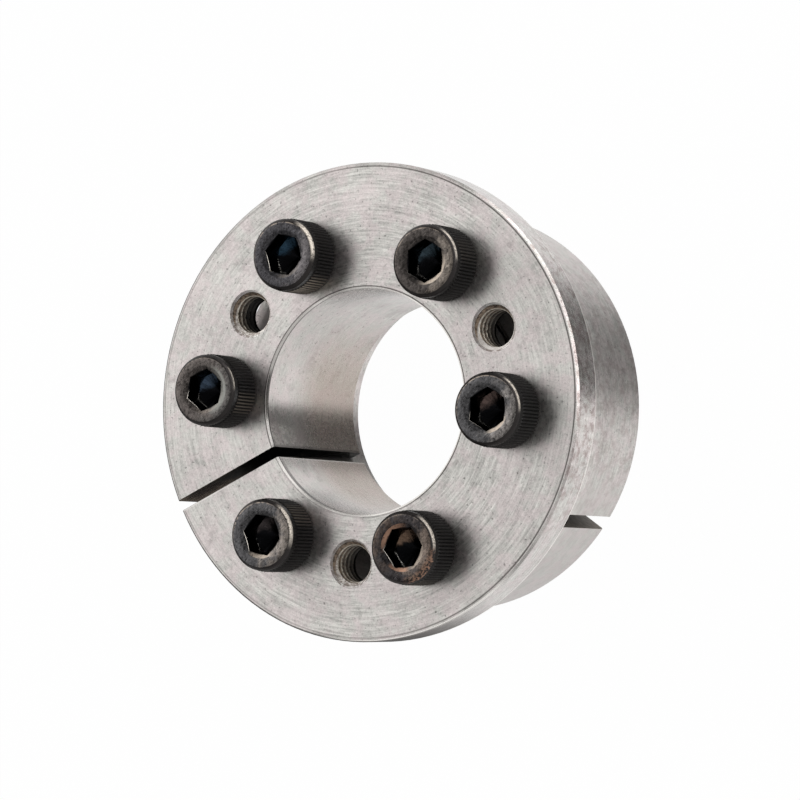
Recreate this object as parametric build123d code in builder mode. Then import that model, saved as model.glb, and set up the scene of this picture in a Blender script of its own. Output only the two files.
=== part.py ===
from build123d import *
import math
import os

os.makedirs("parts", exist_ok=True)

# A flanged shaft locking assembly, in millimetres. It stands on the rear face of its outer ring,
# at height 0, with the shaft's axis along +Z and the screw heads on top.
# A slit inner ring, flange and tapered sleeve in one piece, sits in a slit outer ring with a
# matching tapered bore. Screws through the flange draw the outer ring up the taper.

# Shaft and hub
shaft_diameter = 30.0
hub_bore_diameter = 55.0
outer_ring_length = 15.8

# Flange, and the open space between it and the outer ring before tightening
flange_thickness = 5.4
flange_overhang = 4.3
ring_gap = 6.0

# Sleeve and taper
sleeve_recess = 3.8
sleeve_end_wall = 1.45
taper_on_diameter = 0.125
taper_clearance = 0.12

# Screws, metric M6 x 20 with a knurled socket head
screw_count = 6
screw_diameter = 6.0
screw_length = 20.0
screw_tip_chamfer = 0.6
screw_hole_diameter = 6.6
thread_clearance = 0.03
tapped_hole_wall = 1.2
head_diameter = 9.8
head_height = 5.8
head_chamfer = 0.45
collar_height = 1.2
knurl_count = 66
knurl_depth = 0.14
knurl_foot = 0.2
knurl_sink = 0.04
socket_width = 5.0
socket_depth = 3.0
socket_mouth_diameter = 6.3
socket_mouth_depth = 0.35
socket_drill_angle = 120.0

# Where a corner of each hexagon socket points, in degrees, counted round from the screw at +X
socket_angles = [33.0, 34.5, 51.5, 26.5, 53.5, 10.0]

# Tapped jacking holes in the flange, in every second space between screws
jack_hole_diameter = 6.0
jack_hole_chamfer = 0.25

# Slits
inner_slit_width = 1.5
outer_slit_width = 2.0
inner_slit_space = 3
outer_slit_space = 5

# Edge breaks
flange_front_chamfer = 0.3
flange_back_chamfer = 0.3
bore_chamfer = 0.25
seat_chamfer = 0.35
sleeve_end_chamfer = 0.25
outer_ring_chamfer = 0.35
tapped_hole_chamfer = 0.3
cut_margin = 1.0

# Two radii closer than this are one
same_radius = 1e-4

# Heights
flange_back = outer_ring_length + ring_gap
flange_front = flange_back + flange_thickness
sleeve_end = sleeve_recess

# Radii
shaft_radius = shaft_diameter / 2
hub_radius = hub_bore_diameter / 2
flange_radius = hub_radius + flange_overhang
screw_radius = screw_diameter / 2
jack_hole_radius = jack_hole_diameter / 2
tapped_hole_radius = screw_radius + thread_clearance
taper_slope = taper_on_diameter / 2


def sleeve_radius(height):
    """Outside radius of the sleeve at a height."""
    return shaft_radius + sleeve_end_wall + taper_slope * (height - sleeve_end)


def seat_radius(height):
    """Radius of the outer ring's tapered bore at a height."""
    return sleeve_radius(height) + taper_clearance


# Screw circle, a wall's thickness outside the wide end of the tapered bore
screw_circle_radius = seat_radius(outer_ring_length) + tapped_hole_wall + screw_radius
screw_spacing = 360.0 / screw_count
jack_hole_count = screw_count // 2
first_jack_hole = screw_spacing / 2


def space_angle(space):
    """Middle of a space between two screws, in degrees."""
    return (space + 0.5) * screw_spacing


def circles_of_radius(part, radius):
    """The round edges of one radius."""
    circles = part.edges().filter_by(GeomType.CIRCLE)
    return circles.filter_by(lambda edge: abs(edge.radius - radius) < same_radius)


# Outer ring
with BuildPart() as outer_ring:
    with BuildSketch(Plane.XZ) as outer_section:
        with BuildLine() as outer_outline:
            Polyline(
                (seat_radius(0), 0),
                (hub_radius, 0),
                (hub_radius, outer_ring_length),
                (seat_radius(outer_ring_length), outer_ring_length),
                close=True,
            )
        make_face()
    revolve(axis=Axis.Z)
    chamfer(circles_of_radius(outer_ring, hub_radius), outer_ring_chamfer)
    chamfer(circles_of_radius(outer_ring, seat_radius(0)), seat_chamfer)
    chamfer(circles_of_radius(outer_ring, seat_radius(outer_ring_length)), seat_chamfer)
    with BuildSketch(Plane.XY) as tapped_holes:
        with PolarLocations(screw_circle_radius, screw_count):
            Circle(tapped_hole_radius)
    extrude(amount=outer_ring_length, mode=Mode.SUBTRACT)
    chamfer(circles_of_radius(outer_ring, tapped_hole_radius), tapped_hole_chamfer)
    with BuildSketch(Plane.XY.rotated((0, 0, space_angle(outer_slit_space)))) as outer_slit:
        Rectangle(hub_radius + cut_margin, outer_slit_width, align=(Align.MIN, Align.CENTER))
    extrude(amount=outer_ring_length, mode=Mode.SUBTRACT)

outer_ring.part.label = "outer_ring"
export_step(outer_ring.part, "parts/outer_ring.step")


# Inner ring, its flange and its tapered sleeve in one piece
with BuildPart() as inner_ring:
    with BuildSketch(Plane.XZ) as inner_section:
        with BuildLine() as inner_outline:
            Polyline(
                (shaft_radius, sleeve_end),
                (sleeve_radius(sleeve_end), sleeve_end),
                (sleeve_radius(flange_back), flange_back),
                (flange_radius, flange_back),
                (flange_radius, flange_front),
                (shaft_radius, flange_front),
                close=True,
            )
        make_face()
    revolve(axis=Axis.Z)
    rim_edges = circles_of_radius(inner_ring, flange_radius).sort_by(Axis.Z)
    chamfer(rim_edges[-1], flange_front_chamfer)
    chamfer(rim_edges[0], flange_back_chamfer)
    chamfer(circles_of_radius(inner_ring, shaft_radius), bore_chamfer)
    chamfer(circles_of_radius(inner_ring, sleeve_radius(sleeve_end)), sleeve_end_chamfer)
    with BuildSketch(Plane.XY.offset(flange_back)) as screw_holes:
        with PolarLocations(screw_circle_radius, screw_count):
            Circle(screw_hole_diameter / 2)
    extrude(amount=flange_thickness, mode=Mode.SUBTRACT)
    with BuildSketch(Plane.XY.offset(flange_back)) as jack_holes:
        with PolarLocations(screw_circle_radius, jack_hole_count, start_angle=first_jack_hole):
            Circle(jack_hole_radius)
    extrude(amount=flange_thickness, mode=Mode.SUBTRACT)
    jack_hole_mouths = circles_of_radius(inner_ring, jack_hole_radius).group_by(Axis.Z)[-1]
    chamfer(jack_hole_mouths, jack_hole_chamfer)
    slit_plane = Plane.XY.offset(sleeve_end).rotated((0, 0, space_angle(inner_slit_space)))
    with BuildSketch(slit_plane) as inner_slit:
        Rectangle(flange_radius + cut_margin, inner_slit_width, align=(Align.MIN, Align.CENTER))
    extrude(amount=flange_front - sleeve_end, mode=Mode.SUBTRACT)

inner_ring.part.label = "inner_ring"
export_step(inner_ring.part, "parts/inner_ring.step")


# Clamp screws, each turned to its own angle
head_radius = head_diameter / 2
core_radius = head_radius - knurl_depth
knurl_top = head_height - collar_height
knurl_valley_radius = core_radius - knurl_sink
drill_radius = socket_width / 2
drill_cone_height = drill_radius / math.tan(math.radians(socket_drill_angle / 2))


def knurl_points():
    """A crest and a valley for each ridge of the knurl."""
    step = math.pi / knurl_count
    radii = (head_radius, knurl_valley_radius)
    return [
        (radii[k % 2] * math.cos(k * step), radii[k % 2] * math.sin(k * step))
        for k in range(2 * knurl_count)
    ]


for number, socket_angle in enumerate(socket_angles[:screw_count], start=1):
    place = Vector(screw_circle_radius, 0, flange_front).rotate(Axis.Z, (number - 1) * screw_spacing)
    corner_way = Vector(1, 0, 0).rotate(Axis.Z, socket_angle)
    seat = Plane(origin=place, x_dir=corner_way, z_dir=(0, 0, 1))
    section = Plane(origin=place, x_dir=corner_way, z_dir=corner_way.rotate(Axis.Z, -90))
    screw_axis = Axis(place, (0, 0, 1))

    with BuildPart() as clamp_screw:
        with BuildSketch(seat) as knurl:
            with BuildLine() as knurl_outline:
                Polyline(*knurl_points(), close=True)
            make_face()
        extrude(amount=knurl_top)
        with BuildSketch(section) as knurl_band:
            with BuildLine() as knurl_band_outline:
                Polyline(
                    (0, 0),
                    (head_radius - knurl_foot, 0),
                    (head_radius, knurl_foot),
                    (head_radius, knurl_top - knurl_depth),
                    (core_radius, knurl_top),
                    (0, knurl_top),
                    close=True,
                )
            make_face()
        revolve(axis=screw_axis, mode=Mode.INTERSECT)
        with BuildSketch(section) as turned:
            with BuildLine() as turned_outline:
                Polyline(
                    (0, -screw_length),
                    (screw_radius - screw_tip_chamfer, -screw_length),
                    (screw_radius, screw_tip_chamfer - screw_length),
                    (screw_radius, 0),
                    (core_radius - knurl_foot, 0),
                    (core_radius, knurl_foot),
                    (core_radius, head_height - head_chamfer),
                    (core_radius - head_chamfer, head_height),
                    (0, head_height),
                    close=True,
                )
            make_face()
        revolve(axis=screw_axis)
        with BuildSketch(seat.offset(head_height)) as socket:
            RegularPolygon(socket_width / 2, 6, major_radius=False)
        extrude(amount=-socket_depth, mode=Mode.SUBTRACT)
        with BuildSketch(section) as socket_ends:
            with BuildLine() as mouth_outline:
                Polyline(
                    (0, head_height),
                    (socket_mouth_diameter / 2, head_height),
                    (socket_width / 2, head_height - socket_mouth_depth),
                    (0, head_height - socket_mouth_depth),
                    close=True,
                )
            make_face()
            with BuildLine() as drill_outline:
                Polyline(
                    (0, head_height - socket_depth),
                    (drill_radius, head_height - socket_depth),
                    (0, head_height - socket_depth - drill_cone_height),
                    close=True,
                )
            make_face()
        revolve(axis=screw_axis, mode=Mode.SUBTRACT)

    clamp_screw.part.label = f"clamp_screw_{number}"
    export_step(clamp_screw.part, f"parts/clamp_screw_{number}.step")
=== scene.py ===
import math
from collections import namedtuple

import bmesh
import bpy
from mathutils import Euler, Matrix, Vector


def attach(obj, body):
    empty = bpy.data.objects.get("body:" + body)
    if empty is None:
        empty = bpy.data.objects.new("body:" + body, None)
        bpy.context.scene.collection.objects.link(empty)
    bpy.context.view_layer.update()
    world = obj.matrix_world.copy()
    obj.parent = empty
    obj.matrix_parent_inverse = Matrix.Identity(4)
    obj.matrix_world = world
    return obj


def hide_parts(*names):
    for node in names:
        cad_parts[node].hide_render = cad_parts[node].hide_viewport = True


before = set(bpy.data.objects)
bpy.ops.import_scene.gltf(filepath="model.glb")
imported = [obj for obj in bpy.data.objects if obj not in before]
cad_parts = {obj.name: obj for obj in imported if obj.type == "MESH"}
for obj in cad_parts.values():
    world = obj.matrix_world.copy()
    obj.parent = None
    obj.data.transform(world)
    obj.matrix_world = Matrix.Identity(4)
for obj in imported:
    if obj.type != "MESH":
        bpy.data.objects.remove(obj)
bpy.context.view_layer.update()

MM = 0.001

# Sizes of the assembly in millimetres, as in the CAD source
SHAFT_RADIUS = 15.0
HUB_RADIUS = 27.5
FLANGE_RADIUS = 31.8
OUTER_RING_LENGTH = 15.8
FLANGE_BACK = 21.8
FLANGE_FRONT = 27.2
SLEEVE_END = 3.8
SLEEVE_TOP_RADIUS = 17.58
SCREW_CIRCLE = 21.5075
SCREW_COUNT = 6
SOCKET_ANGLES = [33.0, 34.5, 51.5, 26.5, 53.5, 10.0]
JACK_HOLE_ANGLES = [30.0, 150.0, 270.0]
JACK_HOLE_CHAMFER = 0.25
TAPPED_HOLE_CHAMFER = 0.3
BORE_CHAMFER = 0.25
INNER_SLIT_ANGLE = 210.0
INNER_SLIT_WIDTH = 1.5
OUTER_SLIT_ANGLE = 330.0
OUTER_SLIT_WIDTH = 2.0

# Screw head
HEAD_RADIUS = 4.9
HEAD_HEIGHT = 5.8
HEAD_CORE_RADIUS = 4.76
HEAD_CHAMFER = 0.45
HEAD_FACE_RADIUS = HEAD_CORE_RADIUS - HEAD_CHAMFER
KNURL_TOP = 4.6
KNURL_COUNT = 66
KNURL_STEPS = (0.0, 0.02, 0.1, 0.18, 0.1, 0.02)
KNURL_FOOT = 0.2
SOCKET_FLAT = 2.5
SOCKET_DEPTH = 3.0
SOCKET_FLOOR = HEAD_HEIGHT - SOCKET_DEPTH
SOCKET_MOUTH_RADIUS = 3.15
SOCKET_MOUTH_DEPTH = 0.35
SOCKET_MOUTH_SLOPE = SOCKET_MOUTH_DEPTH / (SOCKET_MOUTH_RADIUS - SOCKET_FLAT)
SOCKET_LEDGE = 0.08
DRILL_CONE_HEIGHT = 1.44
DRILL_TIP_RADIUS = 0.12

# Threads, M6 with 1 mm pitch
PITCH = 1.0
THREAD_SEGMENTS = 64
SCREW_LENGTH = 20.0
SCREW_TIP_CHAMFER = 0.6
SCREW_CREST = 2.985
SCREW_ROOT = 2.43
SCREW_CREST_FLAT = 0.125
TAPPED_GROOVE = 2.95
TAPPED_CREST = 2.47
TAPPED_CREST_FLAT = 0.2
THREAD_FLANK = math.tan(math.radians(30.0))
# The radius that a countersink has at the thread's end
THREAD_CONE = TAPPED_GROOVE + 0.02
# The outer ring's tapped holes have their thread in the stretch that is seen from behind
TAPPED_THREAD_END = 5.3

# Meshes: the angle from which an edge stays sharp, and the distance in metres up to which two
# points are one
SHARP_ANGLE = 25.0
WELD_DISTANCE = 1e-7

# Camera, fitted to the rings' edges in the photograph
CAMERA_PLACE = (236.57, -7.09, 434.94)
CAMERA_TURN = (3.3912, 29.3726, 5.0044)
CAMERA_LENS = 160.33
SENSOR_WIDTH = 36.0

# Light, as directions that it comes from. A white wall has level 1. Angles are in degrees, and a
# reach is the angle up to which a light is full and the angle where it has faded away.
ROOM_LEVEL = 0.30
# A softbox above and a glow low on each side
LIGHTS = [
    ((-0.73, 0.21, 0.65), (22.0, 38.0), 0.97),
    ((-0.86, 0.42, 0.28), (14.0, 34.0), 0.8),
    ((0.66, -0.60, 0.45), (20.0, 55.0), 0.4),
]
STRIP_MIDDLE = (0.62, 0.66, 0.42)
STRIP_ACROSS = (-0.480, -0.174, 0.860)
STRIP_HALF_WIDTH = 7.0
STRIP_EDGE_SHARE = 0.3
STRIP_REACH = (32.0, 48.0)
STRIP_LEVEL = 2.8
# Below the horizon, a bright floor, a dark doorway behind and a dark patch on the left
HORIZON = (0.02, 0.16)
LOW_LEVEL = 1.07
LOW_TILT = (0.30, 0.15, 0.0)
DOORWAY_START = (4.0, 16.0)
DOORWAY_END = (56.0, 90.0)
DOORWAY_TOP = (-0.45, -0.15)
DOORWAY_SHARE = 0.88
DARK_LEFT = (-0.87, -0.18, -0.42)
DARK_LEFT_REACH = (18.0, 38.0)
DARK_LEFT_SHARE = 0.8

# Floor, its width in metres
FLOOR_WIDTH = 6.0
FLOOR_COLOUR = (0.9, 0.9, 0.9)
FLOOR_WHITE_SHARE = 0.985

# Colours of the rings' steel, of what is on it, and of the painted shade and painted highlights
# laid on it
YELLOWISH_STEEL = (0.572, 0.560, 0.530)
PINKISH_STEEL = (0.605, 0.550, 0.538)
STEEL_STAIN = (0.26, 0.195, 0.180)
# Painted highlight, for the chamfers of the bore and the rim, the rim's back edge, the slit's edge,
# a stretch of the bore and the tops of the countersinks
PAINTED_HIGHLIGHT = (0.93, 0.90, 0.86)
# Painted shade on one stretch of the bore's chamfer
GREY_LIP = (0.10, 0.095, 0.09)
# Warm painted shade in the bore
WARM_SHADE = (0.30, 0.21, 0.15)
# Painted shade, for the face's edge lines, the bore, the rim's underside, the gap between the rings
# and the outer ring's front, seat and side
PAINTED_SHADE = (0.045, 0.040, 0.036)
HOLE_DIRT = (0.20, 0.155, 0.130)
# The slit's walls: sawn steel darkened with painted shade, and painted shade for their inner part
SAWN_STEEL_SHADED = (0.20, 0.172, 0.145)
SLIT_DEEP_SHADE = (0.012, 0.011, 0.010)
# Painted shade on grazing reflections
SHADED_GRAZING = (0.10, 0.095, 0.09)

# Finish of the rings' steel. Roughness is the bare metal's, soiling is how stained the side is,
# a lean is how far an edge's normal leans up, and bumps are in metres.
INNER_ROUGHNESS = 0.21
INNER_SOILING = 1.0
OUTER_ROUGHNESS = 0.37
OUTER_SOILING = 0.55
RING_METALLIC = 0.82
SIDE_GRAIN = 0.6
BORE_GRAIN = 0.6
COUNTERSINK_LEAN = 0.7
RIM_LIP_LEAN = 0.95
RING_BUMP = 0.0000045

# Radii of the lines of painted shade at the face's edges, and how far holes reach from the screw
# circle
RIM_LINE = 31.27
BORE_LINE = 15.30
HOLE_REACH = 4.0

# Directions round the axis where marks are, each as its middle and its half width in degrees
SHARP_GRAIN_BELOW = (-62, 75)
SHARP_GRAIN_ABOVE = (90, 50)
SHARP_SIDE_GRAIN = (14, 40)
SIDE_STAIN_AND_SHADE = (15, 50)
RIM_LINE_DARK = (15, 120)
BORE_LINE_FAINT = (258, 60)
BORE_LINE_WIDE = (255, 48)
GREY_LIP_WAY = (150, 36)
RIM_LIP_BRIGHT = (-66, 48)
BORE_SHADE_WAY = (205, 80)
BORE_GLINT = (206, 14)
BORE_SHADE_ABOVE = (95, 32)
BORE_SHADE_BELOW = (256, 28)
RIM_SHADE_WAY = (-101, 52)
RING_SHADE_WIDE = (-22, 85)
RING_SHADE_BELOW = (-68, 34)
NEAR_INNER_SLIT = (INNER_SLIT_ANGLE, 20)

# Heights between which marks fade in or out
BORE_SHADE_HEIGHTS = (13.0, 22.0)
BORE_PATCH_HEIGHTS = (14.0, 24.0)
BORE_GLINT_HEIGHTS = (18.0, 25.5)
SLIT_SHADE_HEIGHTS = (16.0, 20.0)
RING_SHADE_HEIGHTS = (10.0, 12.5)

# Tapped threads. Daylight is how deep it comes into a hole, dirt how much of its mouth is hidden.
# The grooves are painted dark with shade and grime, and the crests bright with wear and a painted
# highlight
THREAD_GROOVE_SHADE = (0.060, 0.043, 0.030)
THREAD_GROOVE_BROWN = (0.30, 0.225, 0.165)
THREAD_CREST_BARE_AND_LIT = (0.95, 0.87, 0.74)
MOUTH_DIRT = (0.26, 0.205, 0.17)
MOUTH_STEEL = (0.82, 0.77, 0.72)
THREAD_DEPTH_SHADE = 0.04
THREAD_METALLIC = 0.45
CREST_LEAN = 0.55
THREAD_BUMP = 0.000012
JACK_HOLE_DAYLIGHT = (5.6, 3.6, 5.6)
JACK_HOLE_DIRT = (0.3, 0.75, 0.9)
TAPPED_HOLE_DIRT = 0.8

# Colours of the screws' black oxide, of the steel that shows through it, and of the painted shade
# and painted highlights on them
KNURL_BLACK = (0.032, 0.031, 0.031)
CHAMFER_BLACK = (0.040, 0.036, 0.035)
SOCKET_SHADE = (0.007, 0.007, 0.008)
WORN_STEEL = (0.34, 0.29, 0.235)
CHAMFER_HIGHLIGHT = (0.60, 0.54, 0.47)
FACE_RIM_HIGHLIGHT = (0.36, 0.30, 0.25)
MOUTH_WEAR_AND_HIGHLIGHT = (0.46, 0.39, 0.32)
MOUTH_EDGE = (0.74, 0.69, 0.62)
SOCKET_GLINT = (0.9, 0.87, 0.8)
HALO_GREY = (0.285, 0.290, 0.265)
OXIDE_BROWN = (0.098, 0.072, 0.057)
COPPER_STAIN_AND_GLINT = (0.44, 0.26, 0.18)
OXIDE_BUMP = 0.000010

# Depth of the painted highlight on the edge in a socket's mouth, its lean, and where a halo round a
# mouth lies
EDGE_DEPTH = 0.13
EDGE_LEAN = 0.35
HALO_RADII = (2.6, 3.55)

# Directions round a screw's own axis, as above
RIM_LINE_LIT = (120, 95)
SOCKET_GLINT_WAY = (222, 34)
HALO_WAY = (5, 80)
BROWN_WAY = (165, 95)
COPPER_ARC = (140, 62)
COPPER_SPOTS = (-38, 50)
COPPER_GLOW = (-98, 34)

# How each screw head has been rubbed and where light is painted on it, by screw number:
#   face, worn     colours of its face and of the face's lit side, which is partly wear and
#                  partly painted light
#   streak, knurl, mouth, edge
#                  the painted highlight on the chamfer, the wear of the knurl, the wear and
#                  painted highlight on the socket's mouth and the painted highlight on the
#                  mouth's lower edge, each as its middle and half width in degrees round the
#                  screw's own axis, and its strength
#   streak_radius  where the painted highlight on the chamfer begins
#   glint, floor   strength of the painted glint in the socket's corner, and colour of its
#                  floor where it is painted lit
#   rim            strength of the painted highlight on the line round the face
#   halo           whether a grey halo lies round the mouth
#   stained        whether the head has brown and copper stains and a painted copper highlight
HeadLook = namedtuple(
    "HeadLook", "face worn streak streak_radius knurl mouth edge glint floor rim halo stained",
    defaults=(1.0, False, False))
HEAD_LOOKS = {
    1: HeadLook((0.084, 0.082, 0.084), (0.195, 0.180, 0.170), (32, 36, 1.0), 4.58,
                (-30, 20, 0.0), (-50, 42, 0.9), (225, 40, 0.5), 0.3, (0.120, 0.085, 0.075)),
    2: HeadLook((0.066, 0.058, 0.054), (0.185, 0.160, 0.138), (34, 36, 1.0), 4.58,
                (20, 25, 0.1), (-40, 70, 0.9), (230, 25, 0.2), 0.35, (0.045, 0.065, 0.080)),
    3: HeadLook((0.060, 0.058, 0.062), (0.135, 0.125, 0.127), (32, 44, 1.0), 4.36,
                (-60, 34, 0.7), (-60, 50, 0.15), (208, 38, 1.0), 0.4, (0.028, 0.056, 0.086)),
    4: HeadLook((0.098, 0.086, 0.080), (0.120, 0.113, 0.108), (24, 24, 0.6), 4.64,
                (-18, 22, 0.35), (-30, 110, 0.2), (222, 42, 1.0), 0.5, (0.060, 0.086, 0.125),
                rim=0.35, halo=True),
    5: HeadLook((0.085, 0.083, 0.085), (0.205, 0.180, 0.160), (24, 46, 0.8), 4.40,
                (40, 25, 0.3), (-88, 42, 0.8), (205, 40, 1.0), 0.12, (0.050, 0.042, 0.042)),
    6: HeadLook((0.046, 0.042, 0.043), (0.145, 0.115, 0.096), (34, 38, 0.8), 4.50,
                (-75, 25, 0.2), (-15, 60, 0.5), (215, 42, 0.8), 0.8, (0.160, 0.105, 0.075),
                stained=True),
}


def make_camera():
    data = bpy.data.cameras.new("camera")
    data.lens = CAMERA_LENS
    data.sensor_width = SENSOR_WIDTH
    data.clip_start = 0.01
    data.clip_end = 20.0
    camera = bpy.data.objects.new("camera", data)
    camera.location = Vector(CAMERA_PLACE) * MM
    camera.rotation_euler = Euler([math.radians(turn) for turn in CAMERA_TURN])
    bpy.context.scene.collection.objects.link(camera)
    bpy.context.scene.camera = camera


def colour(red, green, blue):
    return (red, green, blue, 1.0)


class Shader:
    """A node tree under construction. Values are numbers, tuples or sockets of earlier nodes."""

    def __init__(self, tree):
        self.tree = tree
        tree.nodes.clear()

    def node(self, kind, **settings):
        made = self.tree.nodes.new(kind)
        for name, value in settings.items():
            setattr(made, name, value)
        return made

    def put(self, socket, value):
        if isinstance(value, bpy.types.NodeSocket):
            self.tree.links.new(value, socket)
        else:
            socket.default_value = value

    def math(self, operation, *values):
        made = self.node("ShaderNodeMath", operation=operation)
        for socket, value in zip(made.inputs, values):
            self.put(socket, value)
        return made.outputs[0]

    def chain(self, operation, values):
        total = values[0]
        for value in values[1:]:
            total = self.math(operation, total, value)
        return total

    def add(self, *values):
        return self.chain("ADD", values)

    def times(self, *values):
        return self.chain("MULTIPLY", values)

    def highest(self, *values):
        return self.chain("MAXIMUM", values)

    def minus(self, a, b):
        return self.math("SUBTRACT", a, b)

    def inverse(self, value):
        return self.minus(1.0, value)

    def absolute(self, value):
        return self.math("ABSOLUTE", value)

    def dot(self, a, b):
        made = self.node("ShaderNodeVectorMath", operation="DOT_PRODUCT")
        self.put(made.inputs[0], a)
        self.put(made.inputs[1], b)
        return made.outputs["Value"]

    def shifted(self, a, offset):
        made = self.node("ShaderNodeVectorMath", operation="ADD")
        self.put(made.inputs[0], a)
        self.put(made.inputs[1], offset)
        return made.outputs[0]

    def scaled(self, a, factor):
        made = self.node("ShaderNodeVectorMath", operation="SCALE")
        self.put(made.inputs[0], a)
        self.put(made.inputs["Scale"], factor)
        return made.outputs[0]

    def length(self, x, y):
        return self.math("SQRT", self.add(self.times(x, x), self.times(y, y)))

    def combine(self, x, y, z):
        made = self.node("ShaderNodeCombineXYZ")
        for socket, value in zip(made.inputs, (x, y, z)):
            self.put(socket, value)
        return made.outputs[0]

    def separate(self, vector):
        made = self.node("ShaderNodeSeparateXYZ")
        self.put(made.inputs[0], vector)
        return made.outputs

    def ramp(self, value, low, high, to_low=0.0, to_high=1.0):
        """Turns smoothly from to_low to to_high as value goes from low to high."""
        made = self.node("ShaderNodeMapRange", interpolation_type="SMOOTHSTEP")
        for socket, number in zip(made.inputs, (value, low, high, to_low, to_high)):
            self.put(socket, number)
        return made.outputs[0]

    def fall(self, value, low, high):
        """1 up to low, 0 from high on."""
        return self.ramp(value, low, high, 1.0, 0.0)

    def band(self, value, low, high, edge):
        """1 between low and high, 0 beyond them, with edges of that half width."""
        rise = self.ramp(value, low - edge, low + edge)
        return self.times(rise, self.fall(value, high - edge, high + edge))

    def mix(self, factor, a, b):
        made = self.node("ShaderNodeMix", data_type="RGBA", blend_type="MIX")
        for socket, value in ((0, factor), (6, a), (7, b)):
            self.put(made.inputs[socket], value)
        return made.outputs[2]

    def shade(self, base, level):
        """A colour multiplied by a level."""
        made = self.node("ShaderNodeMix", data_type="RGBA", blend_type="MULTIPLY")
        for socket, value in ((0, 1.0), (6, base), (7, self.combine(level, level, level))):
            self.put(made.inputs[socket], value)
        return made.outputs[2]

    def noise(self, vector, scale, detail=2.0, roughness=0.5):
        made = self.node("ShaderNodeTexNoise")
        self.put(made.inputs["Vector"], vector)
        made.inputs["Scale"].default_value = scale
        made.inputs["Detail"].default_value = detail
        made.inputs["Roughness"].default_value = roughness
        return made.outputs[0]

    def vary(self, noise, start, end):
        """Draws noise, most of which lies between 0.3 and 0.7, out from start to end."""
        return self.ramp(noise, 0.3, 0.7, start, end)

    def lean_up(self, normal, share):
        """A normal leant towards +Z by a share, where an edge is rounded over."""
        made = self.node("ShaderNodeVectorMath", operation="ADD")
        self.put(made.inputs[0], self.scaled(normal, self.inverse(share)))
        self.put(made.inputs[1], self.combine(0.0, 0.0, share))
        unit = self.node("ShaderNodeVectorMath", operation="NORMALIZE")
        self.put(unit.inputs[0], made.outputs[0])
        return unit.outputs[0]

    def bump(self, height, distance):
        made = self.node("ShaderNodeBump")
        self.put(made.inputs["Height"], height)
        made.inputs["Distance"].default_value = distance
        return made.outputs[0]


def make_world():
    """A pale room with a softbox above, a strip light to one side and a dark doorway low behind."""
    world = bpy.data.worlds.new("studio")
    bpy.context.scene.world = world
    world.use_nodes = True
    s = Shader(world.node_tree)
    way = s.node("ShaderNodeTexCoord").outputs["Generated"]
    x, y, height = s.separate(way)

    def near(direction, full, faded):
        """1 within the first angle of a direction, fading to 0 at the second."""
        facing = s.dot(way, Vector(direction).normalized())
        return s.ramp(facing, math.cos(math.radians(faded)), math.cos(math.radians(full)))

    turn = s.math("ARCTAN2", y, x)
    start, end = ([math.radians(angle) for angle in edge] for edge in (DOORWAY_START, DOORWAY_END))
    doorway = s.times(s.ramp(turn, *start), s.fall(turn, *end), s.fall(height, *DOORWAY_TOP))
    low = s.add(LOW_LEVEL, s.dot(way, LOW_TILT))
    low = s.times(low, s.inverse(s.times(doorway, DOORWAY_SHARE)),
                  s.inverse(s.times(near(DARK_LEFT, *DARK_LEFT_REACH), DARK_LEFT_SHARE)))
    high = ROOM_LEVEL
    for direction, reach, strength in LIGHTS:
        high = s.add(high, s.times(near(direction, *reach), strength))
    across = s.dot(way, Vector(STRIP_ACROSS).normalized())
    width = math.sin(math.radians(STRIP_HALF_WIDTH))
    strip = s.times(s.band(across, -width, width, STRIP_EDGE_SHARE * width),
                    near(STRIP_MIDDLE, *STRIP_REACH), STRIP_LEVEL)
    above = s.ramp(height, *HORIZON)
    level = s.add(s.times(above, high), s.times(s.inverse(above), low), strip)
    background = s.node("ShaderNodeBackground")
    background.inputs["Color"].default_value = colour(1.0, 1.0, 1.0)
    s.put(background.inputs["Strength"], level)
    s.put(s.node("ShaderNodeOutputWorld").inputs[0], background.outputs[0])


def make_floor():
    """A white floor that keeps the assembly's shadow. Metal shows the room's light through it."""
    bpy.ops.mesh.primitive_plane_add(size=FLOOR_WIDTH)
    floor = bpy.context.object
    floor.name = "floor"
    material, s = new_material("floor_white")
    path = s.node("ShaderNodeLightPath").outputs
    diffuse = s.node("ShaderNodeBsdfDiffuse")
    diffuse.inputs["Color"].default_value = colour(*FLOOR_COLOUR)
    white = s.node("ShaderNodeEmission")
    seen = s.node("ShaderNodeMixShader")
    s.put(seen.inputs[0], s.times(path["Is Camera Ray"], FLOOR_WHITE_SHARE))
    s.put(seen.inputs[1], diffuse.outputs[0])
    s.put(seen.inputs[2], white.outputs[0])
    mirrored = s.node("ShaderNodeMixShader")
    s.put(mirrored.inputs[0], s.highest(path["Is Glossy Ray"], path["Is Transmission Ray"]))
    s.put(mirrored.inputs[1], seen.outputs[0])
    s.put(mirrored.inputs[2], s.node("ShaderNodeBsdfTransparent").outputs[0])
    s.put(s.node("ShaderNodeOutputMaterial").inputs[0], mirrored.outputs[0])
    floor.data.materials.append(material)


# Materials
def new_material(name):
    material = bpy.data.materials.new(name)
    material.use_nodes = True
    return material, Shader(material.node_tree)


def finish_metal(s, base, roughness, normal, metallic, grazing=None):
    """Metal, with a tint for its reflection at grazing angles."""
    shader = s.node("ShaderNodeBsdfPrincipled")
    s.put(shader.inputs["Base Color"], base)
    s.put(shader.inputs["Roughness"], roughness)
    s.put(shader.inputs["Normal"], normal)
    s.put(shader.inputs["Metallic"], metallic)
    if grazing is not None:
        s.put(shader.inputs["Specular Tint"], grazing)
    s.put(s.node("ShaderNodeOutputMaterial").inputs[0], shader.outputs[0])


# A spot on a piece in the piece's own millimetres, and its distance from the Z axis
Spot = namedtuple("Spot", "place x y z radius")


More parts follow.
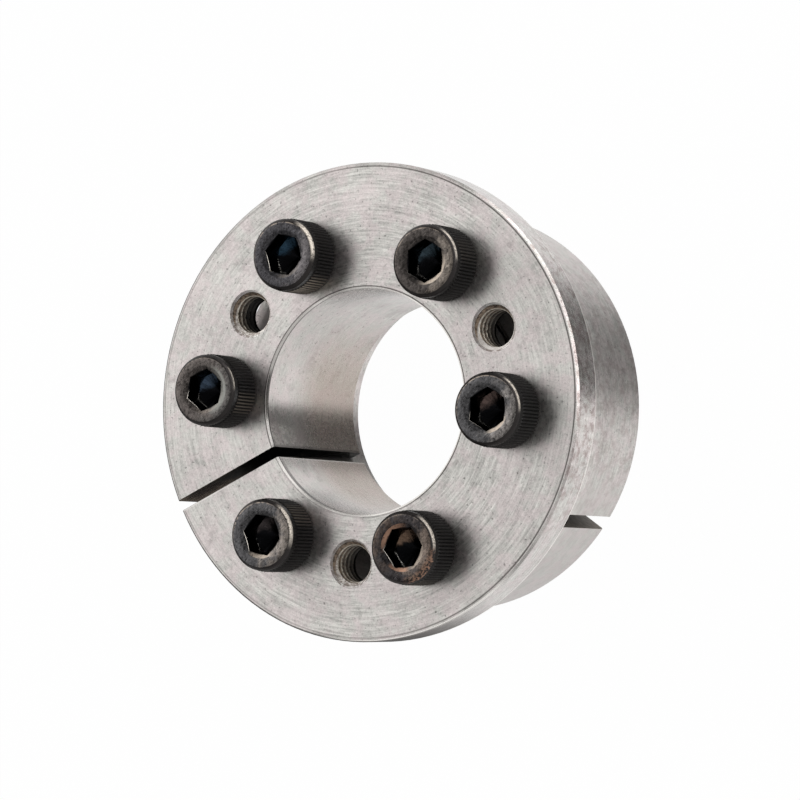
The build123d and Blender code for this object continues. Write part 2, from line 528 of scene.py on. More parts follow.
def own_spot(s):
    place = s.scaled(s.node("ShaderNodeTexCoord").outputs["Object"], 1.0 / MM)
    x, y, z = s.separate(place)
    return Spot(place, x, y, z, s.length(x, y))


def outward(s, spot, angle):
    """How far a spot is from the axis, measured in a direction."""
    a = math.radians(angle)
    return s.add(s.times(spot.x, math.cos(a)), s.times(spot.y, math.sin(a)))


def beside(s, spot, angle):
    """How far a spot is to the left of the line that runs from the axis in a direction."""
    a = math.radians(angle)
    return s.add(s.times(spot.x, -math.sin(a)), s.times(spot.y, math.cos(a)))


def around(s, spot, way):
    """1 in a direction round the axis, fading to 0 at its half width to each side."""
    middle, half_width = way
    facing = s.math("DIVIDE", outward(s, spot, middle), s.add(spot.radius, 0.001))
    end, full = math.radians(half_width), math.radians(half_width / 3)
    return s.ramp(facing, math.cos(end), math.cos(full))


# Parts of the rings. Each function gives up to 1 on its part, and 0 elsewhere.
def front_face(s, spot):
    return s.ramp(spot.z, FLANGE_FRONT - 0.06, FLANGE_FRONT - 0.02)


def below_face(s, spot, depth, edge):
    """From just below the front face to a depth, where it fades over an edge's width."""
    return s.times(s.fall(spot.z, FLANGE_FRONT - 0.03, FLANGE_FRONT - 0.005),
                   s.ramp(spot.z, FLANGE_FRONT - depth, FLANGE_FRONT - depth + edge))


def on_side(s, spot, ring_radius):
    return s.ramp(spot.radius, ring_radius - 0.2, ring_radius - 0.1)


def on_bore(s, spot):
    return s.fall(spot.radius, SHAFT_RADIUS + 0.1, SHAFT_RADIUS + 0.3)


def slit_walls(s, spot, angle, width):
    """The walls of a slit that runs from the axis at an angle."""
    half = width / 2
    return s.times(s.fall(s.absolute(beside(s, spot, angle)), half + 0.01, half + 0.03),
                   s.ramp(outward(s, spot, angle), 5.0, 6.0))


def face_edges(s, spot):
    """Thin lines of painted shade where the face meets the chamfers of the rim and of the bore."""
    rim = s.band(spot.radius, RIM_LINE - 0.1, RIM_LINE + 0.1, 0.07)
    rim = s.times(rim, s.add(0.4, s.times(around(s, spot, RIM_LINE_DARK), 0.6)))
    lip = s.band(spot.radius, BORE_LINE - 0.03, BORE_LINE + 0.12, 0.04)
    lip = s.times(lip, s.ramp(around(s, spot, BORE_LINE_FAINT), 0.0, 1.0, 1.0, 0.3))
    return s.times(s.highest(rim, lip), front_face(s, spot))


def bore_line(s, spot):
    """A thin line of painted shade on the bore's wall, just below its chamfer, and broad in one
    stretch.
    """
    top = FLANGE_FRONT - BORE_CHAMFER
    broad = s.times(s.band(spot.z, top - 0.8, top, 0.1), around(s, spot, BORE_LINE_WIDE))
    line = s.highest(s.band(spot.z, top - 0.22, top, 0.06), broad)
    return s.times(line, s.fall(spot.radius, SHAFT_RADIUS + 0.02, SHAFT_RADIUS + 0.06))


def countersink(s, spot):
    """The mouths of the jacking holes, below the face."""
    holes = s.band(spot.radius, SCREW_CIRCLE - HOLE_REACH, SCREW_CIRCLE + HOLE_REACH, 0.2)
    return s.times(below_face(s, spot, 0.4, 0.1), holes)


def countersink_dirt_and_light(s, spot):
    """Dirt in the mouths of the jacking holes. There is less of it at the top of the upper two,
    where the steel is left light as a painted highlight.
    """
    dirt = s.ramp(s.noise(spot.place, 1.6, 3.0, 0.7), 0.40, 0.60, 0.05, 1.0)
    return s.times(countersink(s, spot), dirt, s.ramp(spot.y, 11.5, 13.0, 1.0, 0.1))


def bore_lip(s, spot):
    """The chamfer at the bore's mouth."""
    return s.times(below_face(s, spot, BORE_CHAMFER + 0.02, 0.02),
                   s.fall(spot.radius, SHAFT_RADIUS + 0.3, SHAFT_RADIUS + 0.4))


# Painted shade on one stretch of the bore's chamfer
def grey_bore_lip(s, spot):
    return s.times(bore_lip(s, spot), around(s, spot, GREY_LIP_WAY))


def bright_rim_lip(s, spot):
    """The part of the rim's front chamfer that is given a painted highlight."""
    return s.times(below_face(s, spot, 0.32, 0.04), s.ramp(spot.radius, RIM_LINE, RIM_LINE + 0.1),
                   around(s, spot, RIM_LIP_BRIGHT))


def bore_shade(s, spot):
    """Painted shade in the bore: a little all over it, and most at its far end, where little light
    comes.
    """
    shaded = s.times(s.fall(spot.z, *BORE_SHADE_HEIGHTS), around(s, spot, BORE_SHADE_WAY))
    return s.times(on_bore(s, spot), s.add(0.1, s.times(shaded, 0.9)))


def bore_shade_patches(s, spot):
    """Two patches of painted shade inside the bore's mouth."""
    patches = s.highest(around(s, spot, BORE_SHADE_ABOVE), around(s, spot, BORE_SHADE_BELOW))
    return s.times(on_bore(s, spot), patches, s.ramp(spot.z, *BORE_PATCH_HEIGHTS))


def bore_glint(s, spot):
    """A painted highlight on a short stretch of the bore, just below its mouth and above the slit.
    """
    patchy = s.ramp(s.noise(spot.place, 1.1, 3.0, 0.6), 0.35, 0.6, 0.4, 1.0)
    return s.times(on_bore(s, spot), patchy, around(s, spot, BORE_GLINT),
                   s.ramp(spot.z, *BORE_GLINT_HEIGHTS))


def slit_edge_highlight(s, spot):
    """A painted highlight along the slit's lower edge in the bore and on the face's outer part."""
    edge = INNER_SLIT_WIDTH / 2
    face = s.times(front_face(s, spot), s.ramp(spot.radius, 23.0, 26.0))
    return s.times(s.highest(on_bore(s, spot), face),
                   s.band(beside(s, spot, INNER_SLIT_ANGLE), edge + 0.02, edge + 0.2, 0.06),
                   around(s, spot, NEAR_INNER_SLIT))


def slit_shade(s, spot):
    """Painted shade on the bore just above the slit."""
    edge = -INNER_SLIT_WIDTH / 2
    return s.times(on_bore(s, spot),
                   s.band(beside(s, spot, INNER_SLIT_ANGLE), edge - 0.35, edge, 0.08),
                   around(s, spot, NEAR_INNER_SLIT))


def rim_shade(s, spot):
    """Painted shade on the underside of the flange's rim."""
    return s.times(on_side(s, spot, FLANGE_RADIUS), around(s, spot, RIM_SHADE_WAY))


def rear_edge_highlight(s, spot):
    """A thin painted highlight along the rim, where the chamfer at the flange's back begins."""
    line = s.band(spot.z, FLANGE_BACK + 0.30, FLANGE_BACK + 0.46, 0.04)
    return s.times(line, on_side(s, spot, FLANGE_RADIUS))


def behind_flange(s, spot):
    """Painted shade on the flange's back and the outside of the sleeve, in the gap between the
    rings.
    """
    return s.times(s.fall(spot.radius, FLANGE_RADIUS - 2.5, FLANGE_RADIUS - 0.8),
                   s.ramp(spot.radius, SHAFT_RADIUS + 0.9, SHAFT_RADIUS + 1.2),
                   s.fall(spot.z, FLANGE_BACK, FLANGE_BACK + 0.2))


def ring_front(s, spot):
    """Painted shade on the outer ring's front face, in the open space behind the flange."""
    return s.times(s.ramp(spot.z, OUTER_RING_LENGTH - 0.1, OUTER_RING_LENGTH - 0.02),
                   s.fall(spot.radius, HUB_RADIUS - 2.0, HUB_RADIUS - 0.6))


def shaded_seat(s, spot):
    """Painted shade on the tapered bore of the outer ring, where the sleeve sits in it."""
    return s.times(s.fall(spot.radius, SLEEVE_TOP_RADIUS + 0.3, SLEEVE_TOP_RADIUS + 0.5),
                   s.ramp(spot.z, SLEEVE_END - 0.6, SLEEVE_END + 0.6))


def ring_side_shade(s, spot):
    """Painted shade on the outer ring's side, away from the flange and underneath."""
    far = s.times(around(s, spot, RING_SHADE_WIDE), s.fall(spot.z, *RING_SHADE_HEIGHTS))
    return s.times(on_side(s, spot, HUB_RADIUS), s.highest(far, around(s, spot, RING_SHADE_BELOW)))


# Zones that are finished, soiled, painted with shade or painted with highlights their own way, the
# later ones over the earlier. Each has its part, the share and the colour that cover the steel
# there, and what it adds to the roughness.
INNER_ZONES = [
    (front_face, 0.0, PAINTED_SHADE, 0.13),
    (face_edges, 0.85, PAINTED_SHADE, 0.0),
    # Painted highlight on the bore's chamfer
    (bore_lip, 0.7, PAINTED_HIGHLIGHT, 0.0),
    (grey_bore_lip, 0.55, GREY_LIP, 0.0),
    (bright_rim_lip, 0.8, PAINTED_HIGHLIGHT, 0.0),
    (bore_shade, 0.5, WARM_SHADE, 0.06),
    (bore_shade_patches, 0.42, PAINTED_SHADE, 0.06),
    (bore_glint, 0.25, PAINTED_HIGHLIGHT, 0.08),
    (slit_edge_highlight, 0.6, PAINTED_HIGHLIGHT, 0.1),
    (slit_shade, 0.5, PAINTED_SHADE, 0.05),
    (bore_line, 0.9, PAINTED_SHADE, 0.0),
    (rim_shade, 0.85, PAINTED_SHADE, 0.15),
    (countersink_dirt_and_light, 0.75, HOLE_DIRT, 0.2),
    (behind_flange, 0.55, PAINTED_SHADE, 0.1),
    (rear_edge_highlight, 0.85, PAINTED_HIGHLIGHT, 0.3),
]
OUTER_ZONES = [
    (ring_front, 0.75, PAINTED_SHADE, 0.1),
    (shaded_seat, 0.9, PAINTED_SHADE, 0.1),
    (ring_side_shade, 0.12, PAINTED_SHADE, 0.0),
]


def turned_lines(s, spot, density, spread):
    """Noise drawn out round the axis, as a turning tool leaves it."""
    round_x = s.math("DIVIDE", s.times(spot.x, spread), spot.radius)
    round_y = s.math("DIVIDE", s.times(spot.y, spread), spot.radius)
    along = s.times(s.add(spot.radius, spot.z), density)
    return s.noise(s.combine(along, round_x, round_y), 1.0, 3.0, 0.6)


def make_ring_steel(name, slit_angle, slit_width, ring_radius, base_roughness, soiling, zones):
    """Bare turned steel with a sawn slit. Its lines are sharper in some directions, and its side
    is stained and calmer. The zones lay dirt, painted shade and painted highlights over it, and
    the slit's walls are darkened with painted shade."""
    material, s = new_material(name)
    spot = own_spot(s)
    place = spot.place
    side = s.ramp(spot.radius, ring_radius - 0.28, ring_radius - 0.2)
    slit = slit_walls(s, spot, slit_angle, slit_width)

    lines = turned_lines(s, spot, 1.9, 3.5)
    fine = turned_lines(s, spot, 4.4, 7.0)
    clouds = s.noise(place, 0.11, 3.0, 0.6)
    mottle = s.noise(place, 1.7, 4.0, 0.62)
    tint = s.noise(s.shifted(place, (31.0, 7.0, 3.0)), 0.45, 3.0, 0.6)
    grit = s.noise(place, 5.5, 2.0, 0.7)
    specks = s.ramp(s.noise(s.shifted(place, (5.0, 50.0, 9.0)), 2.6, 2.0, 0.4), 0.655, 0.72)
    smudges = s.ramp(s.noise(s.shifted(place, (70.0, 3.0, 21.0)), 0.33, 4.0, 0.7), 0.52, 0.68)
    stain = s.ramp(s.noise(s.shifted(place, (2.0, 17.0, 40.0)), 0.8, 4.0, 0.7), 0.42, 0.66)

    sharper = s.highest(around(s, spot, SHARP_GRAIN_BELOW), around(s, spot, SHARP_GRAIN_ABOVE))
    turned = s.times(s.add(s.vary(lines, -0.08, 0.08), s.vary(fine, -0.20, 0.20)),
                     s.ramp(tint, 0.4, 0.6, 1.0, 0.45), s.ramp(sharper, 0.0, 1.0, 0.7, 1.1))
    grain = s.add(turned, s.vary(mottle, -0.11, 0.10), s.vary(grit, -0.11, 0.11))
    grain = s.times(grain, s.ramp(on_bore(s, spot), 0.0, 1.0, 1.0, BORE_GRAIN))
    marks = s.add(s.vary(clouds, -0.08, 0.06), s.times(smudges, -0.16), s.times(specks, -0.42))
    calm_side = s.times(side, s.inverse(around(s, spot, SHARP_SIDE_GRAIN)))
    calm = s.ramp(calm_side, 0.0, 1.0, 1.0, SIDE_GRAIN * soiling)
    base = s.mix(s.ramp(tint, 0.35, 0.65), colour(*YELLOWISH_STEEL), colour(*PINKISH_STEEL))
    base = s.shade(base, s.add(1.0, s.times(s.add(grain, marks), calm)))
    # A brown stain on the side, heaviest towards 15 degrees round the axis, where it also serves as
    # painted shade
    stained = s.times(side, stain, soiling, s.add(0.25, s.times(around(s, spot, SIDE_STAIN_AND_SHADE), 0.5)))
    base = s.mix(stained, base, colour(*STEEL_STAIN))
    roughness = s.add(base_roughness, s.times(slit, 0.25), s.vary(mottle, -0.03, 0.04))
    for find, share, zone_colour, rougher in zones:
        zone = find(s, spot)
        base = s.mix(s.times(zone, share), base, colour(*zone_colour))
        roughness = s.add(roughness, s.times(zone, rougher))

    # The slit's walls: painted black as shade in their inner part, and sawn steel darkened with
    # painted shade in their outer part
    out = outward(s, spot, slit_angle)
    sawn = s.noise(s.combine(s.times(out, 0.7), 0.0, s.times(spot.z, 6.0)), 1.0, 3.0, 0.6)
    saw_marks = s.shade(colour(*SAWN_STEEL_SHADED), s.vary(sawn, 0.55, 1.4))
    base = s.mix(slit, base, s.mix(s.ramp(out, 19.0, 28.0), colour(*SLIT_DEEP_SHADE), saw_marks))

    height = s.add(s.times(lines, 0.6), s.times(fine, 0.3), s.times(mottle, 0.35),
                   s.times(specks, -0.6), s.times(slit, sawn, 2.0))
    lean = s.highest(s.times(countersink(s, spot), COUNTERSINK_LEAN), bore_lip(s, spot),
                     s.times(bright_rim_lip(s, spot), RIM_LIP_LEAN))
    # Painted shade on grazing reflections, on the rim's underside and high up on the slit's walls
    shaded = s.highest(rim_shade(s, spot), s.times(slit, s.ramp(spot.z, *SLIT_SHADE_HEIGHTS)))
    grazing = s.mix(shaded, colour(1.0, 1.0, 1.0), colour(*SHADED_GRAZING))
    # The bore's painted highlight is also made less metallic, so that it comes out lighter
    metallic = s.add(RING_METALLIC, s.times(front_face(s, spot), 1.0 - RING_METALLIC),
                     s.times(bore_glint(s, spot), -0.5))
    finish_metal(s, base, roughness, s.lean_up(s.bump(height, RING_BUMP), lean), metallic, grazing)
    return material


def make_thread_steel(name, number, mouth, end, cone, dirt):
    """A tapped thread, rubbed bright and given a painted highlight on its crests, and painted dark
    with shade and grime in its grooves. Daylight comes in at the height of its mouth and is gone
    at its end. The cone is the height where the countersink, which narrows by a millimetre a
    millimetre, would come to the axis. Dirt is how much of the countersink's steel it hides."""
    material, s = new_material(name)
    spot = own_spot(s)
    grime = s.noise(s.shifted(spot.place, (11.0 * number, 5.0 * number, 0.0)), 2.6, 4.0, 0.65)
    ragged = s.add(spot.radius, s.vary(grime, -0.05, 0.05))
    crest = s.times(s.fall(ragged, TAPPED_CREST + 0.02, TAPPED_CREST + 0.13),
                    s.ramp(grime, 0.34, 0.6, 0.35, 1.0))
    cut = s.fall(s.minus(spot.radius, s.absolute(s.minus(spot.z, cone))), 0.02, 0.06)
    groove = s.mix(s.ramp(grime, 0.36, 0.62),
                   colour(*THREAD_GROOVE_SHADE), colour(*THREAD_GROOVE_BROWN))
    mouth_steel = s.mix(s.ramp(grime, 0.38, 0.62, 1.0 - dirt, 1.0),
                        colour(*MOUTH_DIRT), colour(*MOUTH_STEEL))
    base = s.mix(crest, groove, colour(*THREAD_CREST_BARE_AND_LIT))
    base = s.mix(cut, base, mouth_steel)
    # A painted highlight on the top of the countersink
    base = s.mix(s.times(cut, s.ramp(spot.y, 0.8, 2.2), 0.75), base, colour(*PAINTED_HIGHLIGHT))
    base = s.shade(base, s.ramp(spot.z, end, mouth, THREAD_DEPTH_SHADE, 1.0))
    lean = s.highest(s.times(cut, COUNTERSINK_LEAN), s.times(crest, CREST_LEAN))
    normal = s.lean_up(s.bump(grime, THREAD_BUMP), lean)
    finish_metal(s, base, s.vary(grime, 0.44, 0.3), normal, THREAD_METALLIC)
    return material


# Parts of a screw head: its face, the chamfer round it, the knurled side, all that lies within
# the mouth, the hexagon socket, the mouth's cone, that cone's lower edge and its lower half
HeadParts = namedtuple("HeadParts", "face chamfer knurl inside socket cone edge deep")


def head_parts(s, spot):
    """1 on each part of a screw head and 0 elsewhere."""
    chamfer_foot = HEAD_HEIGHT - HEAD_CHAMFER
    edge_height = HEAD_HEIGHT - EDGE_DEPTH
    face = s.ramp(spot.z, HEAD_HEIGHT - 0.03, HEAD_HEIGHT - 0.012)
    chamfer = s.times(s.ramp(spot.z, chamfer_foot - 0.05, chamfer_foot + 0.03), s.inverse(face),
                      s.ramp(spot.radius, HEAD_FACE_RADIUS - 0.21, HEAD_FACE_RADIUS - 0.11))
    knurl = s.times(s.fall(spot.z, KNURL_TOP - 0.15, KNURL_TOP - 0.05),
                    s.ramp(spot.radius, HEAD_CORE_RADIUS - 0.10, HEAD_CORE_RADIUS - 0.06))
    inside = s.times(s.fall(spot.radius, SOCKET_MOUTH_RADIUS - 0.02, SOCKET_MOUTH_RADIUS + 0.01),
                     s.ramp(spot.z, 0.5, 0.8))
    # On the cone itself, this is the height of the face
    level = s.add(spot.z, s.times(s.minus(SOCKET_MOUTH_RADIUS, spot.radius), SOCKET_MOUTH_SLOPE))
    socket = s.times(inside, s.fall(level, edge_height - 0.02, edge_height))
    cone = s.times(inside, s.inverse(face), s.inverse(socket))
    edge = s.times(inside, s.band(level, edge_height, HEAD_HEIGHT - 0.03, 0.01))
    deep = s.times(cone, s.fall(spot.z, HEAD_HEIGHT - 0.34, HEAD_HEIGHT - 0.22))
    return HeadParts(face, chamfer, knurl, inside, socket, cone, edge, deep)


def stain_head(s, spot, parts, wear, scuff, base):
    """Brown on the face, copper in the mouth and along the rim, and a painted copper highlight at
    the mouth's bottom.
    """
    brown = s.times(parts.face, s.ramp(wear, 0.38, 0.58), around(s, spot, BROWN_WAY), 0.6)
    base = s.mix(brown, base, s.shade(colour(*OXIDE_BROWN), s.vary(scuff, 0.5, 1.4)))
    spots = s.times(s.highest(parts.face, parts.chamfer), s.ramp(spot.radius, 3.6, 4.3),
                    s.ramp(scuff, 0.47, 0.58), around(s, spot, COPPER_SPOTS), 0.75)
    # Copper stain on the cone and in spots, and a painted copper highlight at the mouth's bottom
    copper = s.highest(s.times(parts.cone, around(s, spot, COPPER_ARC)), spots,
                       s.times(parts.cone, around(s, spot, COPPER_GLOW)))
    return s.mix(s.times(copper, s.ramp(scuff, 0.3, 0.5, 0.35, 0.9)), base, colour(*COPPER_STAIN_AND_GLINT))


def make_oxide(name, number, look):
    """Black oxide on a screw, rubbed to grey on the face and to bare metal on the knurl's edges and
    the mouth. Painted highlights lie on its chamfer, its face's rim, its mouth and its socket's
    corner and floor, its face's lit side is partly painted light, and its socket is painted black
    as shade.
    The number moves the noise, so that no two screws are alike."""
    material, s = new_material(name)
    spot = own_spot(s)
    x, y = spot.x, spot.y
    parts = head_parts(s, spot)
    place = s.shifted(spot.place, (13.0 * number, 7.0 * number, 0.0))

    def worn(mark):
        """Share in a direction, from its middle, half width and strength, for wear and painted
        highlights alike.
        """
        middle, half_width, strength = mark
        return s.times(around(s, spot, (middle, half_width)), strength)

    wear = s.noise(place, 0.7, 4.0, 0.65)
    scuff = s.noise(place, 3.2, 4.0, 0.65)
    pits = s.ramp(s.noise(s.shifted(place, (4.0, 1.0, 8.0)), 3.4, 2.0, 0.5), 0.58, 0.68)
    slanting = s.combine(s.times(s.add(x, y), 0.8), s.times(s.minus(x, y), 7.0), 3.0 * number)
    scratches = s.ramp(s.noise(slanting, 1.0, 3.0, 0.6), 0.56, 0.66)
    drawn_out = s.combine(s.times(x, 3.2), s.times(y, 0.6), 5.0 * number)
    streaks = s.noise(drawn_out, 1.0, 3.0, 0.6)

    # The face's lit side is lighter, partly by wear and partly as painted light
    lit_side = s.ramp(s.add(x, s.times(y, -0.25), s.vary(wear, -1.6, 1.6)), 0.6, 3.4)
    grey = s.mix(s.times(lit_side, 0.9), colour(*look.face), colour(*look.worn))
    grey = s.shade(grey, s.add(s.vary(scuff, 0.6, 1.45), s.vary(streaks, -0.3, 0.3),
                               s.times(pits, -0.45), s.times(scratches, 1.2)))
    base = s.mix(s.highest(parts.face, parts.inside), colour(*KNURL_BLACK), grey)
    crests = s.times(parts.knurl, s.ramp(spot.radius, HEAD_RADIUS - 0.12, HEAD_RADIUS - 0.02),
                     worn(look.knurl))
    base = s.mix(crests, base, colour(*WORN_STEEL))
    # A painted highlight on the chamfer
    streak = s.times(s.ramp(spot.radius, look.streak_radius - 0.06, look.streak_radius + 0.06),
                     worn(look.streak), s.ramp(scuff, 0.30, 0.52, 0.25, 1.0))
    base = s.mix(parts.chamfer, base, s.mix(streak, colour(*CHAMFER_BLACK), colour(*CHAMFER_HIGHLIGHT)))
    # A painted highlight along the rim of the face, on its lit side
    rim_line = s.times(s.band(spot.radius, HEAD_FACE_RADIUS - 0.10, HEAD_FACE_RADIUS + 0.02, 0.05),
                       s.ramp(spot.z, HEAD_HEIGHT - 0.08, HEAD_HEIGHT - 0.04),
                       around(s, spot, RIM_LINE_LIT), look.rim,
                       s.ramp(scuff, 0.38, 0.55), s.ramp(wear, 0.40, 0.56, 0.15, 0.9))
    base = s.mix(rim_line, base, colour(*FACE_RIM_HIGHLIGHT))
    # Wear and a painted highlight on the mouth's cone
    mouth = s.times(parts.cone, s.ramp(scuff, 0.3, 0.5, 0.5, 1.0), worn(look.mouth))
    base = s.mix(mouth, base, colour(*MOUTH_WEAR_AND_HIGHLIGHT))
    if look.halo:
        halo = s.times(s.highest(parts.face, parts.cone), s.band(spot.radius, *HALO_RADII, 0.12),
                       around(s, spot, HALO_WAY), 0.6)
        base = s.mix(halo, base, colour(*HALO_GREY))
    if look.stained:
        base = stain_head(s, spot, parts, wear, scuff, base)

    lit_floor = s.add(s.times(x, -0.5), s.times(y, 0.87), s.vary(wear, -0.3, 0.3))
    floor = s.times(parts.socket, s.fall(spot.z, SOCKET_FLOOR, SOCKET_FLOOR + 0.1),
                    s.ramp(lit_floor, 0.85, 1.75))
    glint = s.times(parts.socket, s.band(spot.z, SOCKET_FLOOR + 0.02, SOCKET_FLOOR + 0.12, 0.02),
                    s.ramp(spot.radius, SOCKET_FLAT - 0.10, SOCKET_FLAT - 0.05),
                    around(s, spot, SOCKET_GLINT_WAY), look.glint)
    # The socket and the lower half of the mouth's cone are painted black as shade
    base = s.mix(s.highest(parts.deep, parts.socket), base, colour(*SOCKET_SHADE))
    # A painted highlight on the mouth's lower edge
    base = s.mix(s.times(parts.edge, worn(look.edge)), base, colour(*MOUTH_EDGE))
    base = s.mix(floor, base, colour(*look.floor))
    base = s.mix(glint, base, colour(*SOCKET_GLINT))
    roughness = s.add(s.vary(scuff, 0.26, 0.42), s.times(parts.knurl, 0.1),
                      s.times(parts.socket, -0.08))
    height = s.add(scuff, s.times(pits, -0.8), s.times(scratches, 0.4))
    normal = s.lean_up(s.bump(height, OXIDE_BUMP), s.times(parts.edge, EDGE_LEAN))
    finish_metal(s, base, roughness, normal, s.inverse(glint))
    return material


# Meshes
def mesh_object(name, surface, material):
    mesh = bpy.data.meshes.new(name)
    mesh.from_pydata([Vector(point) * MM for point in surface.points], [], surface.faces)
    tidy = bmesh.new()
    tidy.from_mesh(mesh)
    bmesh.ops.remove_doubles(tidy, verts=tidy.verts, dist=WELD_DISTANCE)
    bmesh.ops.dissolve_degenerate(tidy, edges=tidy.edges, dist=WELD_DISTANCE)
    bmesh.ops.recalc_face_normals(tidy, faces=tidy.faces)
    tidy.to_mesh(mesh)
    tidy.free()
    mesh.polygons.foreach_set("use_smooth", [True] * len(mesh.polygons))
    mesh.set_sharp_from_angle(angle=math.radians(SHARP_ANGLE))
    mesh.materials.append(material)
    made = bpy.data.objects.new(name, mesh)
    bpy.context.scene.collection.objects.link(made)
    return made


def on_circle(radius, angle, height):
    return (radius * math.cos(angle), radius * math.sin(angle), height)


class Surface:
    """Points and faces of a mesh, put together ring by ring."""

    def __init__(self):
        self.points = []
        self.faces = []

    def rings(self, rings, closed=True):
        """Joins rings of equally many points into a surface, each to the next."""
        first = len(self.points)
        count = len(rings[0])
        for ring in rings:
            self.points.extend(ring)
        last = count if closed else count - 1
        for row in range(len(rings) - 1):
            a = first + row * count
            for k in range(last):
                n = (k + 1) % count
                self.faces.append((a + k, a + n, a + count + n, a + count + k))

    def fan(self, ring, tip):
        """Closes a ring with triangles that meet at a point."""
        first = len(self.points)
        self.points.extend(ring)
        self.points.append(tip)
        count = len(ring)
        for k in range(count):
            self.faces.append((first + k, first + (k + 1) % count, first + count))


def add_head(surface, turn):
    """A knurled head with a hexagon socket, from the drilled hole under the socket out to the seat.
    The small distances round its edges off."""
    steps = len(KNURL_STEPS)
    count = KNURL_COUNT * steps
    angles = [2 * math.pi * k / count for k in range(count)]
    sixth = math.pi / 3

    def hexagon(angle):
        return SOCKET_FLAT / math.cos(angle % sixth - sixth / 2)

    def mouth_height(angle):
        return HEAD_HEIGHT - SOCKET_MOUTH_SLOPE * (SOCKET_MOUTH_RADIUS - hexagon(angle))

    def ring(radius_of, height_of):
        return [on_circle(radius_of(a, k), a + turn, height_of(a)) for k, a in enumerate(angles)]

    def plain(radius, height, knurl=0.0):
        return ring(lambda a, k: radius - knurl * KNURL_STEPS[k % steps], lambda a: height)

    def socket(wider, height_of):
        return ring(lambda a, k: hexagon(a) + wider, height_of)

    tip = SOCKET_FLOOR - DRILL_CONE_HEIGHT
    drill = plain(DRILL_TIP_RADIUS, tip + DRILL_TIP_RADIUS * DRILL_CONE_HEIGHT / SOCKET_FLAT)
    surface.fan(drill, (0.0, 0.0, tip))
    surface.rings([
        drill,
        plain(SOCKET_FLAT - SOCKET_LEDGE, SOCKET_FLOOR),
        socket(-SOCKET_LEDGE, lambda a: SOCKET_FLOOR + 0.02),
        socket(0.0, lambda a: SOCKET_FLOOR + 0.12),
        socket(0.0, lambda a: mouth_height(a) - 0.08),
        socket(0.04, lambda a: mouth_height(a) + 0.015),
        plain(SOCKET_MOUTH_RADIUS, HEAD_HEIGHT - 0.015),
        plain(SOCKET_MOUTH_RADIUS + 0.04, HEAD_HEIGHT),
        plain(HEAD_FACE_RADIUS - 0.03, HEAD_HEIGHT),
        plain(HEAD_FACE_RADIUS + 0.03, HEAD_HEIGHT - 0.025),
        plain(HEAD_CORE_RADIUS - 0.04, HEAD_HEIGHT - HEAD_CHAMFER + 0.035),
        plain(HEAD_CORE_RADIUS, HEAD_HEIGHT - HEAD_CHAMFER - 0.04),
        plain(HEAD_CORE_RADIUS, KNURL_TOP + 0.03),
        plain(HEAD_CORE_RADIUS + 0.01, KNURL_TOP, 0.1),
        plain(HEAD_RADIUS - 0.02, KNURL_TOP - 0.17, 0.95),
        plain(HEAD_RADIUS, KNURL_TOP - 0.24, 1.0),
        plain(HEAD_RADIUS, KNURL_FOOT + 0.05, 1.0),
        plain(HEAD_RADIUS - 0.03, KNURL_FOOT - 0.02, 0.9),
        plain(HEAD_RADIUS - KNURL_FOOT, 0.0, 0.1),
        plain(SCREW_ROOT, 0.0),
    ])


def add_thread(surface, low, high, profile, limit):
    """A right-hand helical surface. The profile is pairs of (share of the pitch, radius), and the
    limit gives the radius that may be had at a height."""
    turns = math.ceil((high - low) / PITCH) + 1
    rings = []
    for number in range(-1, turns):
        for share, radius in profile:
            start = low + (number + share) * PITCH
            ring = []
            for k in range(THREAD_SEGMENTS + 1):
                turn = k / THREAD_SEGMENTS
                height = min(max(start + turn * PITCH, low), high)
                ring.append(on_circle(limit(radius, height), 2 * math.pi * turn, height))
            rings.append(ring)
    surface.rings(rings, closed=False)


def trapezoid(crest, root, crest_flat):
    """One turn of a 60 degree thread, from the start of its crest."""
    flank = abs(crest - root) * THREAD_FLANK / PITCH
    return [(0.0, crest), (crest_flat, crest), (crest_flat + flank, root), (1.0 - flank, root)]


def make_screw(number, material):
    """A clamp screw, with its origin on its axis at the height of its seat."""
    surface = Surface()
    add_head(surface, math.radians(SOCKET_ANGLES[number - 1]))
    tip = -SCREW_LENGTH
    tip_radius = SCREW_CREST - SCREW_TIP_CHAMFER

    def limit(radius, height):
        return min(radius, tip_radius + (height - tip))

    add_thread(surface, tip, 0.0, trapezoid(SCREW_CREST, SCREW_ROOT, SCREW_CREST_FLAT), limit)
    steps = [2 * math.pi * k / THREAD_SEGMENTS for k in range(THREAD_SEGMENTS)]
    surface.fan([on_circle(tip_radius, a, tip) for a in steps], (0.0, 0.0, tip))
    screw = mesh_object(f"screw_{number}", surface, material)
    angle = 2 * math.pi * (number - 1) / SCREW_COUNT
    screw.location = Vector(on_circle(SCREW_CIRCLE, angle, FLANGE_FRONT)) * MM
    return screw


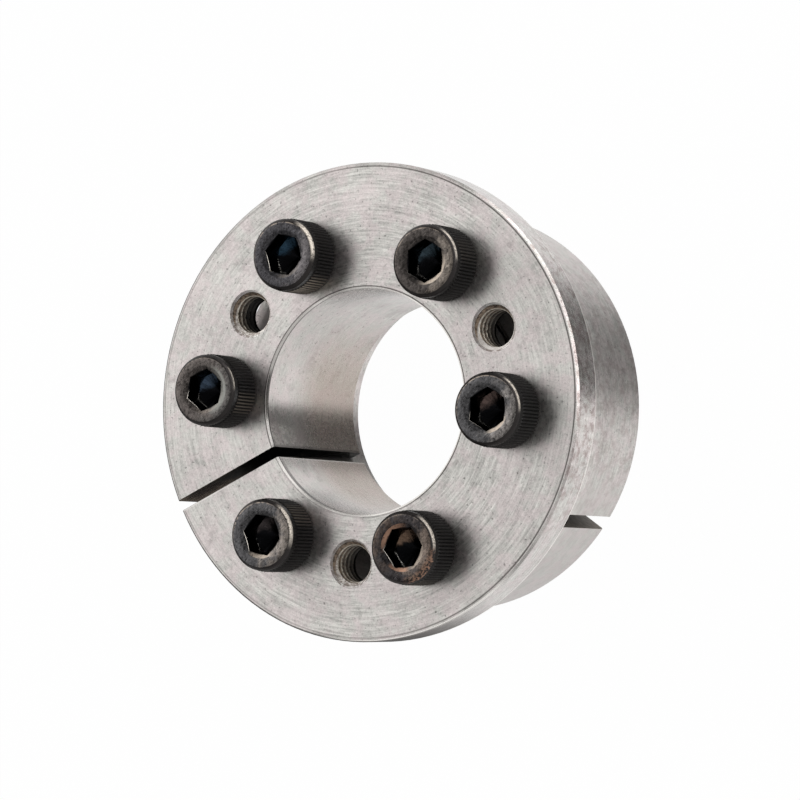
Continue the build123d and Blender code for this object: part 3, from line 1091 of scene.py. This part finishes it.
def make_tapped_thread(name, angle, low, high, cone_top, cone_low, material):
    """The thread of a tapped hole. Where a cone's radius is given for its top or its low end, a
    countersink cuts its crests there."""
    surface = Surface()

    def limit(radius, height):
        radius = max(radius, cone_top - (high - height)) if cone_top else radius
        return max(radius, cone_low - (height - low)) if cone_low else radius

    profile = trapezoid(TAPPED_CREST, TAPPED_GROOVE, TAPPED_CREST_FLAT)
    add_thread(surface, low, high, profile, limit)
    thread = mesh_object(name, surface, material)
    thread.location = Vector(on_circle(SCREW_CIRCLE, math.radians(angle), 0.0)) * MM
    return thread


make_camera()
make_world()
make_floor()

inner_steel = make_ring_steel("turned_steel", INNER_SLIT_ANGLE, INNER_SLIT_WIDTH, FLANGE_RADIUS,
                              INNER_ROUGHNESS, INNER_SOILING, INNER_ZONES)
outer_steel = make_ring_steel("ground_steel", OUTER_SLIT_ANGLE, OUTER_SLIT_WIDTH, HUB_RADIUS,
                              OUTER_ROUGHNESS, OUTER_SOILING, OUTER_ZONES)
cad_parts["inner_ring"].material_slots[0].material = inner_steel
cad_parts["outer_ring"].material_slots[0].material = outer_steel

for number in range(1, SCREW_COUNT + 1):
    screw = make_screw(number, make_oxide(f"oxide_{number}", number, HEAD_LOOKS[number]))
    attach(screw, f"clamp_screw_{number}")
    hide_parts(f"clamp_screw_{number}")

jack_mouth = FLANGE_FRONT - JACK_HOLE_CHAMFER
jack_holes = zip(JACK_HOLE_ANGLES, JACK_HOLE_DAYLIGHT, JACK_HOLE_DIRT)
for number, (angle, daylight, dirt) in enumerate(jack_holes, start=1):
    jack_steel = make_thread_steel(f"jack_thread_steel_{number}", number, jack_mouth,
                                   jack_mouth - daylight, jack_mouth - THREAD_CONE, dirt)
    thread = make_tapped_thread(f"jack_thread_{number}", angle, FLANGE_BACK, jack_mouth,
                                THREAD_CONE, None, jack_steel)
    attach(thread, "inner_ring")

tapped_mouth = TAPPED_HOLE_CHAMFER
tapped_steel = make_thread_steel("tapped_thread_steel", 0, tapped_mouth, TAPPED_THREAD_END,
                                 tapped_mouth + THREAD_CONE, TAPPED_HOLE_DIRT)
for number in range(1, SCREW_COUNT + 1):
    angle = 360.0 * (number - 1) / SCREW_COUNT
    thread = make_tapped_thread(f"tapped_thread_{number}", angle, tapped_mouth, TAPPED_THREAD_END,
                                None, THREAD_CONE, tapped_steel)
    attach(thread, "outer_ring")

bpy.context.scene.view_settings.view_transform = "Standard"
